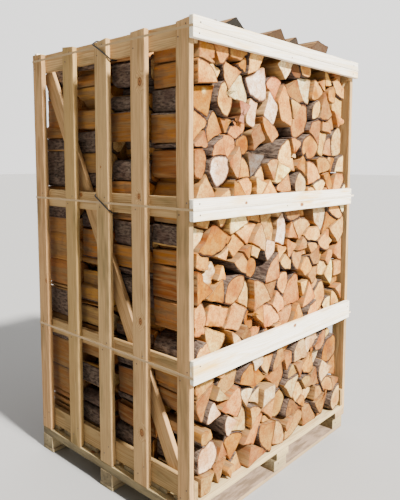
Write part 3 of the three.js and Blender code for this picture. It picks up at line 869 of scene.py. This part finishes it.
def add_log(store, log, y_front, rng, tone, stain):
    outline, bark = log["outline"], log["on_bark"]
    outline = offset_inward(outline, SHRINK)
    around = len(outline)
    middle = outline.mean(0)
    length = log["length"]
    stations = np.array(LOG_STATIONS) * length / LOG_LENGTH
    ridge = wave(rng, np.arange(around) * POINT_PITCH, 0.09, 0.016, 4)
    ridge = 0.0018 * (ridge - 0.5)
    taper, twist = rng.uniform(-0.03, 0.005) * log["slack"], rng.uniform(-0.03, 0.03) * log["slack"]
    lean, bend = rng.normal(0, 0.0016, 2) * log["slack"], rng.normal(0, 0.0015, 2) * log["slack"]
    slant = rng.normal(0, 0.012, 2)
    outward = outward_of(outline)
    rings = []
    for k, y in enumerate(stations):
        share = y / length - 0.5
        end = k in (0, len(stations) - 1)
        ring = outline + outward * (ridge * (1 + 0.7 * math.sin(3 * share + ridge[0] * 900)) + np.where(bark > 0.5, rng.normal(0, 0.0006, around), rng.normal(0, 0.00035, around)))[:, None]
        if end:
            ring = offset_inward(ring, 0.0011)
        ring = middle + (ring - middle) * (1 + taper * (share + 0.5))
        c, s = math.cos(twist * share), math.sin(twist * share)
        ring = middle + (ring - middle) @ np.array([[c, s], [-s, c]])
        ring = ring + lean * share * 2 + bend * (4 * share ** 2 - 0.3) + [log["yaw"] * (share + 0.5) ** 2, 0]
        tilt = (ring - middle) @ slant if k < 2 or k > len(stations) - 3 else np.zeros(around)
        rings.append(np.stack([ring[:, 0], y_front + y + tilt * (1 if k < 2 else -1), ring[:, 1]], 1))
    start = store["count"]
    points = np.concatenate(rings)
    inner = [rings[k][:, [0, 1, 2]] * 0.45 + rings[k].mean(0) * 0.55 for k in (0, -1)]
    points = np.concatenate([points, inner[0], inner[1], [rings[0].mean(0)], [rings[-1].mean(0)]])
    layers = len(rings)
    index = start + np.arange(layers * around).reshape(layers, around)
    near, far = index[:-1], index[1:]
    sides = np.stack([near, far, np.roll(far, -1, 1), np.roll(near, -1, 1)], -1).reshape(-1, 4)
    front_ring, back_ring = index[0], index[-1]
    front_inner = start + layers * around + np.arange(around)
    back_inner = front_inner + around
    front_centre, back_centre = start + (layers + 2) * around, start + (layers + 2) * around + 1
    front_band = np.stack([front_ring, np.roll(front_ring, -1), np.roll(front_inner, -1), front_inner], -1)
    back_band = np.stack([back_ring, back_inner, np.roll(back_inner, -1), np.roll(back_ring, -1)], -1)
    front_fan = np.stack([front_inner, np.roll(front_inner, -1), np.full(around, front_centre)], -1)
    back_fan = np.stack([back_inner, np.full(around, back_centre), np.roll(back_inner, -1)], -1)
    store["faces"] += sides.tolist() + front_band.tolist() + back_band.tolist() + front_fan.tolist() + back_fan.tolist()
    store["kinds"] += [0] * len(sides) + [1] * (4 * around)
    rim = np.concatenate([np.ones(layers * around), np.zeros(2 * around + 2)])
    total = len(points)
    store["points"].append(points)
    store["log"].append(np.stack([np.concatenate([np.tile(bark, layers), np.zeros(2 * around + 2)]), rim,
                                  np.full(total, stain)], 1))
    store["heart"].append(np.tile([log["heart"][0], log["heart"][1], rng.uniform(0, 50)], (total, 1)))
    store["tone"].append(np.tile([*tone, 1.0], (total, 1)))
    store["count"] += total


def log_end_material():
    """Sawn ends: the log's own tone, rings round its heart, rays, drying cracks, saw marks and stains, and painted
    shade darkening each end towards its outline.
    """
    material, tree, surface = new_material("log_ends", 0.85)
    place = node(tree, "SeparateXYZ", node(tree, "NewGeometry").outputs["Position"])
    heart = node(tree, "SeparateXYZ", attribute(tree, "heart"))
    log = node(tree, "SeparateXYZ", attribute(tree, "log"))
    bark, rim, stain = log.outputs
    tone = attribute(tree, "tone", "Color")
    dx = math_node(tree, "SUBTRACT", place.outputs[0], heart.outputs[0])
    dz = math_node(tree, "SUBTRACT", place.outputs[2], heart.outputs[1])
    seed = heart.outputs[2]
    spot = node(tree, "CombineXYZ", place.outputs[0], seed, place.outputs[2]).outputs[0]
    reach = math_node(tree, "SQRT", math_node(tree, "ADD", math_node(tree, "MULTIPLY", dx, dx),
                                              math_node(tree, "MULTIPLY", dz, dz)))
    warp = math_node(tree, "MULTIPLY", math_node(tree, "SUBTRACT", noise(tree, spot, 22, 3), 0.5), 0.011)
    ring = math_node(tree, "FRACT", math_node(tree, "DIVIDE", math_node(tree, "ADD", reach, warp), 0.0034))
    late = math_node(tree, "MULTIPLY", ramp(tree, ring, 0.2, 0.85), ramp(tree, ring, 1.0, 0.9))
    turn_place = node(tree, "CombineXYZ", math_node(tree, "DIVIDE", dx, reach), math_node(tree, "DIVIDE", dz, reach),
                      math_node(tree, "ADD", seed, math_node(tree, "MULTIPLY", reach, 3.0))).outputs[0]
    rays = noise(tree, turn_place, 26, 3, 0.7)
    cracks = noise(tree, turn_place, 9, 2, 0.5)
    crack = math_node(tree, "MULTIPLY", ramp(tree, cracks, 0.685, 0.72), ramp(tree, noise(tree, spot, 30, 2), 0.45, 0.6))
    large = noise(tree, spot, 9, 2, 0.5)
    medium = noise(tree, spot, 34, 4, 0.6)

    colour = mix(tree, ramp(tree, large, 0.35, 0.65, 0, 0.5), tone, mix(tree, 1.0, tone, linear("F0D0A0"), "MULTIPLY"))
    colour = mix(tree, math_node(tree, "MULTIPLY", ramp(tree, medium, 0.4, 0.7), 0.75), colour, linear("DCB680"), "MULTIPLY")
    colour = mix(tree, math_node(tree, "MULTIPLY", late, 0.42), colour, linear("CCA470"), "MULTIPLY")
    colour = mix(tree, ramp(tree, rays, 0.48, 0.72, 0, 0.60), colour, linear("BE9464"), "MULTIPLY")
    orange = mix(tree, ramp(tree, medium, 0.35, 0.65), linear("985E06"), linear("A2722A"))
    stained = ramp(tree, math_node(tree, "ADD", large, math_node(tree, "MULTIPLY", stain, 0.42)), 0.72, 0.82)
    colour = mix(tree, stained, colour, orange)
    colour = mix(tree, ramp(tree, noise(tree, spot, 140, 2), 0.35, 0.7, 0.0, 0.55), colour, linear("C0A078"), "MULTIPLY")
    heartwood = ramp(tree, math_node(tree, "ADD", reach, math_node(tree, "MULTIPLY", large, 0.05)), 0.095, 0.035, 0, 0.75)
    colour = mix(tree, heartwood, colour, linear("D0A878"), "MULTIPLY")
    # painted shade: each end darkens towards its outline, where the logs meet
    colour = mix(tree, math_node(tree, "MULTIPLY", ramp(tree, rim, 0.80, 1.0), 0.8), colour, linear("96705A"), "MULTIPLY")
    rind = math_node(tree, "MULTIPLY", ramp(tree, rim, 0.72, 0.92), ramp(tree, bark, 0.3, 0.7))
    colour = mix(tree, math_node(tree, "MULTIPLY", rind, 0.9), colour, linear("6A4E3C"), "MULTIPLY")
    colour = mix(tree, math_node(tree, "MULTIPLY", crack, 0.75), colour, linear("3B271B"))

    stroke_angle = math_node(tree, "MULTIPLY", seed, 2.4)
    stroke = math_node(tree, "ADD", math_node(tree, "MULTIPLY", place.outputs[0], math_node(tree, "COSINE", stroke_angle)),
                       math_node(tree, "MULTIPLY", place.outputs[2], math_node(tree, "SINE", stroke_angle)))
    saw = noise(tree, node(tree, "CombineXYZ", math_node(tree, "MULTIPLY", stroke, 420), seed, 0.0).outputs[0], 1.0, 1)
    height = math_node(tree, "ADD", math_node(tree, "MULTIPLY", medium, 0.7), math_node(tree, "MULTIPLY", saw, 0.5))
    height = math_node(tree, "SUBTRACT", height, math_node(tree, "MULTIPLY", crack, 1.2))
    finish_material(tree, surface, colour, ramp(tree, medium, 0.2, 0.8, 0.95, 0.75), height, 0.6, 0.0016)
    return material


def log_side_material():
    """Split faces with long fibres, and furrowed bark."""
    material, tree, surface = new_material("log_sides", 0.9)
    place = node(tree, "NewGeometry").outputs["Position"]
    heart = node(tree, "SeparateXYZ", attribute(tree, "heart"))
    log = node(tree, "SeparateXYZ", attribute(tree, "log"))
    bark, rim, stain = log.outputs
    tone = attribute(tree, "tone", "Color")
    spot = vector_node(tree, "ADD", place, node(tree, "CombineXYZ", 0.0, heart.outputs[2], 0.0).outputs[0])
    fibre = noise(tree, vector_node(tree, "MULTIPLY", spot, (240, 12, 240)), 1.0, 4, 0.65)
    band = noise(tree, vector_node(tree, "MULTIPLY", spot, (48, 3.5, 48)), 1.0, 3, 0.6)
    patch = noise(tree, spot, 12, 3, 0.55)
    # partly the split wood's own colour, partly painted shade: the split faces are coloured much darker than the sawn
    # ends
    warm = mix(tree, 1.0, tone, linear("C09A6C"), "MULTIPLY")
    split = mix(tree, ramp(tree, band, 0.35, 0.65), warm, linear("8A6A42"))
    split = mix(tree, ramp(tree, patch, 0.5, 0.7, 0, 0.5), split, linear("6A4E38"))
    split = mix(tree, ramp(tree, fibre, 0.46, 0.72, 0, 0.55), split, linear("563C2A"))
    furrow = noise(tree, vector_node(tree, "MULTIPLY", spot, (120, 34, 120)), 1.0, 4, 0.6)
    lichen = noise(tree, spot, 55, 3, 0.6)
    rind = mix(tree, ramp(tree, furrow, 0.36, 0.62), linear("3A2E26"), linear("6E5C4E"))
    rind = mix(tree, ramp(tree, lichen, 0.58, 0.7, 0, 0.5), rind, linear("847868"))
    rind = mix(tree, ramp(tree, patch, 0.45, 0.7, 0, 0.5), rind, linear("4A332C"))
    on_bark = ramp(tree, math_node(tree, "ADD", bark, math_node(tree, "MULTIPLY", math_node(tree, "SUBTRACT", furrow, 0.5), 0.5)),
                   0.42, 0.58)
    colour = mix(tree, on_bark, split, rind)
    height = math_node(tree, "ADD", math_node(tree, "MULTIPLY", fibre, 0.6),
                       math_node(tree, "MULTIPLY", math_node(tree, "MULTIPLY", furrow, on_bark), 2.2))
    finish_material(tree, surface, colour, ramp(tree, furrow, 0.2, 0.8, 0.98, 0.8), height, 0.8, 0.0022)
    return material


# Logs of the front row that stand out, as (x, z, kind)
SPECIAL = {
    "white": ("FAF2E6", 0.0), "cream": ("F0DCC0", 0.0), "tan": ("D89E6C", 0.15), "amber": ("CEA050", 0.45),
    "orange": ("A66E18", 0.95), "yellow": ("D2A444", 0.6), "slate": ("74706E", 0.0), "brown": ("B98A74", 0.0),
    "olive": ("C29A5C", 0.1),
}
NOTED = (
    (-0.03, 1.84, "tan"), (-0.07, 1.75, "white"), (-0.22, 1.82, "white"), (-0.20, 1.52, "slate"),
    (-0.31, 1.57, "orange"), (0.39, 1.83, "amber"), (-0.25, 1.65, "cream"), (0.17, 1.57, "amber"),
    (-0.30, 1.70, "brown"), (-0.42, 1.17, "orange"), (-0.34, 1.18, "amber"), (-0.24, 1.14, "orange"),
    (-0.28, 1.46, "amber"), (-0.36, 1.38, "yellow"), (0.41, 1.16, "orange"), (-0.56, 1.03, "orange"),
    (-0.51, 1.12, "amber"), (-0.44, 1.45, "white"), (-0.01, 1.15, "white"), (-0.12, 1.09, "cream"),
    (-0.21, 0.79, "orange"), (-0.13, 0.84, "amber"), (0.13, 0.72, "amber"), (-0.16, 0.91, "olive"),
    (-0.22, 0.57, "orange"), (-0.11, 0.49, "orange"), (-0.43, 0.34, "orange"), (-0.38, 0.38, "amber"),
    (-0.09, 0.33, "olive"), (-0.50, 0.47, "cream"), (-0.39, 0.45, "cream"), (-0.50, 0.23, "cream"),
    (0.25, 0.52, "amber"), (0.21, 0.27, "amber"),
)
BACK_RELIEF = 0.026
# Painted shade: the last row's logs are toned calmer and lose their stains, as if lying in shade
PAINTED_SHADE_TONE = np.array(linear("C4A684")[:3])
# Painted shade: near-black end tones for the logs under the crest peaks, standing for faces turned from the light
CREST_TONES = ("2E2B24", "201F1B", "4A3A24", "3A342C", "574632", "6A5840")
LOWER_TIER_TOP = 0.66
LOWER_TIER_TINT = np.array([0.76, 0.74, 0.76])

ends, sides = log_end_material(), log_side_material()
row_names = sorted(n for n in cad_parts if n.startswith("log_row_"))
for number, node_name in enumerate(row_names):
    rng = np.random.default_rng(300 + number)
    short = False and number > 0
    logs = pack_row(node_name, 40 + number, *((120, 60) if short else (INFLATE_STEPS, SETTLE_STEPS)))
    low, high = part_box(node_name)
    kinds = {}
    middles = np.array([log["corners"].mean(0) for log in logs])
    if number == 0:
        for x, z, kind in NOTED:
            kinds[int(np.hypot(*(middles - [x, z]).T).argmin())] = kind
    store = {"points": [], "faces": [], "kinds": [], "log": [], "heart": [], "tone": [], "count": 0}
    crest = 0
    for i, log in enumerate(logs):
        tone = TONES[rng.choice(len(TONES), p=SHARES)] * rng.uniform(0.74, 1.26) * [1, rng.uniform(0.98, 1.10), rng.uniform(0.74, 0.98)]
        stain = rng.choice([0.0, 0.3, 0.8], p=[0.76, 0.18, 0.06])
        if log["corners"][:, 1].mean() < LOWER_TIER_TOP:
            tone = tone * LOWER_TIER_TINT
        # painted shade: the crest logs take the near-black crest tones
        if "place" in log:
            tone, stain = np.array(linear(CREST_TONES[crest % len(CREST_TONES)])[:3]), 0.0
            crest += 1
        elif i in kinds:
            tone, stain = np.array(linear(SPECIAL[kinds[i]][0])[:3]), SPECIAL[kinds[i]][1]
        set_back = SET_BACK * rng.random() ** 1.6 * (0.3 if node_name == row_names[-1] else 1)
        # painted shade on the last row
        if node_name == row_names[-1]:
            tone, stain = tone * 0.45 + PAINTED_SHADE_TONE * 0.55, 0.0
        log["length"] = min(LOG_LENGTH - rng.uniform(0, 0.007), ROW_REACH - set_back)
        log["slack"] = 1.0
        if node_name == row_names[-1]:
            log["slack"], log["length"] = 0.2, high.y - low.y - set_back - rng.uniform(0, 0.002)
        outer_left = log["outline"][:, 0].min() < low.x + NOTCH_DEPTH
        if node_name == row_names[-1] and log["outline"][:, 0].min() > low.x + TIGHT_WIDTH:
            log["length"] -= BACK_RELIEF * rng.random() ** 1.6
        log["yaw"] = YAWED_SHIFT if node_name == row_names[-1] and outer_left and YAWED[0] < middles[i, 1] < YAWED[1] else 0.0
        add_log(store, log, low.y - 0.002 + set_back, rng, np.clip(tone, 0, 1), stain)
    mesh = bpy.data.meshes.new(f"split_logs_{number + 1}")
    mesh.from_pydata(np.concatenate(store["points"]).tolist(), [], store["faces"])
    for label, width in (("log", 3), ("heart", 3), ("tone", 4)):
        layer = mesh.attributes.new(label, "FLOAT_VECTOR" if width == 3 else "FLOAT_COLOR", "POINT")
        layer.data.foreach_set("vector" if width == 3 else "color", np.concatenate(store[label]).astype(np.float32).ravel())
    mesh.materials.append(sides)
    mesh.materials.append(ends)
    mesh.polygons.foreach_set("material_index", np.array(store["kinds"], np.int32))
    mesh.polygons.foreach_set("use_smooth", np.ones(len(mesh.polygons), bool))
    mesh.set_sharp_from_angle(angle=math.radians(40))
    piece = bpy.data.objects.new(f"split_logs_{number + 1}", mesh)
    bpy.context.scene.collection.objects.link(piece)
    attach(piece, "root")
    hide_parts(node_name)

# ---------------------------------------------------------------- nail heads
NAIL_RADIUS, NAIL_PROUD, NAIL_SIDES = 0.0032, 0.0007, 10


def nail_material():
    material, tree, surface = new_material("nail_heads", 0.5)
    surface.inputs["Metallic"].default_value = 0.75
    rust = noise(tree, node(tree, "NewGeometry").outputs["Position"], 420, 3)
    colour = mix(tree, ramp(tree, rust, 0.4, 0.62), linear("6C6A66"), linear("5A3E2C"))
    finish_material(tree, surface, colour, ramp(tree, rust, 0.3, 0.7, 0.4, 0.8), rust, 0.4, 0.0003)
    return material


def nails():
    """(place, outward axis) of every visible nail: two where a slat crosses a rail, and two near each end
    and over the middle of each front and back board."""
    spots = []
    rng = np.random.default_rng(5)
    shake = lambda: rng.uniform(-0.004, 0.004)
    for side, outward in (("left", -1), ("right", 1)):
        for i in range(1, 6):
            slat_low, slat_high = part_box(f"{side}_slat_{i}")
            face = slat_low.x if outward < 0 else slat_high.x
            for rail in ("bottom", "lower", "upper", "top"):
                rail_low, rail_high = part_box(f"{side}_rail_{rail}")
                y, z = (slat_low.y + slat_high.y) / 2, (rail_low.z + rail_high.z) / 2
                for sign in (-1, 1):
                    spots.append((Vector((face, y + sign * 0.018 + shake(), z - sign * 0.02 + shake())), 0, outward))
    for side, outward in (("front", -1), ("back", 1)):
        for level in ("lower", "upper", "top"):
            low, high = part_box(f"{side}_board_{level}")
            face = low.y if outward < 0 else high.y
            for x in (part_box("left_rail_top")[0].x + 0.011, (low.x + high.x) / 2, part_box("right_rail_top")[0].x + 0.011):
                for sign in (-1, 1):
                    if abs(x) < 0.3 and sign > 0:
                        continue
                    spots.append((Vector((x + shake(), face, (low.z + high.z) / 2 + sign * 0.02 + shake())), 1, outward))
    for row in ("front", "middle", "back"):
        for column in ("left", "middle", "right"):
            low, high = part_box(f"block_{row}_{column}")
            if row != "middle":
                face, outward = (low.y, -1) if row == "front" else (high.y, 1)
                spots.append((Vector((low.x + 0.03 + shake(), face, (low.z + high.z) / 2 + shake())), 1, outward))
    return spots


nail_points, nail_faces = [], []
for place, axis, outward in nails():
    first = len(nail_points)
    for radius, proud in ((NAIL_RADIUS, -0.0012), (NAIL_RADIUS, NAIL_PROUD * 0.55), (NAIL_RADIUS * 0.72, NAIL_PROUD)):
        for k in range(NAIL_SIDES):
            a = 2 * math.pi * k / NAIL_SIDES
            p = [0.0, 0.0, place.z + radius * math.sin(a)]
            p[1 - axis] = place[1 - axis] + radius * math.cos(a)
            p[axis] = place[axis] + outward * proud
            nail_points.append(p)
    flip = (outward > 0) == (axis == 0)
    for layer in range(2):
        for k in range(NAIL_SIDES):
            a, b = first + layer * NAIL_SIDES + k, first + layer * NAIL_SIDES + (k + 1) % NAIL_SIDES
            quad = [a, b, b + NAIL_SIDES, a + NAIL_SIDES]
            nail_faces.append(quad if flip else quad[::-1])
    top = [first + 2 * NAIL_SIDES + k for k in range(NAIL_SIDES)]
    bottom = [first + k for k in range(NAIL_SIDES)]
    nail_faces.append(top if flip else top[::-1])
    nail_faces.append(bottom[::-1] if flip else bottom)
nail_mesh = bpy.data.meshes.new("nail_heads")
nail_mesh.from_pydata(nail_points, [], nail_faces)
nail_mesh.materials.append(nail_material())
nail_piece = bpy.data.objects.new("nail_heads", nail_mesh)
bpy.context.scene.collection.objects.link(nail_piece)
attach(nail_piece, "root")


# ---------------------------------------------------------------- bands and ties
def band_material():
    """Woven polyester strapping, clear enough to take the wood's colour, and partly painted light and shade: near-white
    where it faces front or back, a darker tan, the wood's tone in shade, where it faces the sides.
    """
    material, tree, surface = new_material("strapping", 0.35)
    place = node(tree, "NewGeometry").outputs["Position"]
    z = node(tree, "SeparateXYZ", place).outputs[2]
    cords = math_node(tree, "SINE", math_node(tree, "MULTIPLY", z, 2 * math.pi / 0.0016))
    scuff = noise(tree, place, 60, 4, 0.6)
    # painted light and shade: near-white on the faces turned front or back, darker tan on those turned to the sides
    facing = node(tree, "SeparateXYZ", node(tree, "NewGeometry").outputs["Normal"]).outputs[1]
    painted_front_light = ramp(tree, math_node(tree, "ABSOLUTE", facing), 0.4, 0.8)
    cord = mix(tree, painted_front_light, linear("B2946A"), linear("F4E8D0"))
    colour = mix(tree, ramp(tree, cords, -1, 1, 0, 0.12), cord, linear("D8C29C"))
    colour = mix(tree, ramp(tree, scuff, 0.5, 0.7, 0, 0.22), colour, linear("A78D68"))
    finish_material(tree, surface, colour, ramp(tree, scuff, 0.3, 0.7, 0.3, 0.55), cords, 0.4, 0.0002)
    return material


def tie_material():
    material, tree, surface = new_material("lashing", 0.45)
    place = node(tree, "NewGeometry").outputs["Position"]
    scuff = noise(tree, place, 300, 3)
    colour = mix(tree, ramp(tree, scuff, 0.4, 0.7), linear("0F0F10"), linear("2A2928"))
    finish_material(tree, surface, colour, ramp(tree, scuff, 0.3, 0.7, 0.35, 0.6), scuff, 0.3, 0.0003)
    return material


for prefix, material in (("strap_", band_material()), ("tie_", tie_material())):
    for node_name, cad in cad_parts.items():
        if node_name.startswith(prefix):
            cad.data.materials.clear()
            cad.data.materials.append(material)

# ---------------------------------------------------------------- floor
floor_mesh = bpy.data.meshes.new("floor")
FLOOR_REACH = 60
floor_mesh.from_pydata([(-FLOOR_REACH, -FLOOR_REACH, 0), (FLOOR_REACH, -FLOOR_REACH, 0),
                        (FLOOR_REACH, FLOOR_REACH, 0), (-FLOOR_REACH, FLOOR_REACH, 0)], [], [(0, 1, 2, 3)])
floor_material, floor_tree, floor_surface = new_material("floor", 0.9)
floor_surface.inputs["Base Color"].default_value = (0.335, 0.334, 0.331, 1)
floor_mesh.materials.append(floor_material)
floor = bpy.data.objects.new("floor", floor_mesh)
bpy.context.scene.collection.objects.link(floor)

bpy.context.view_layer.update()
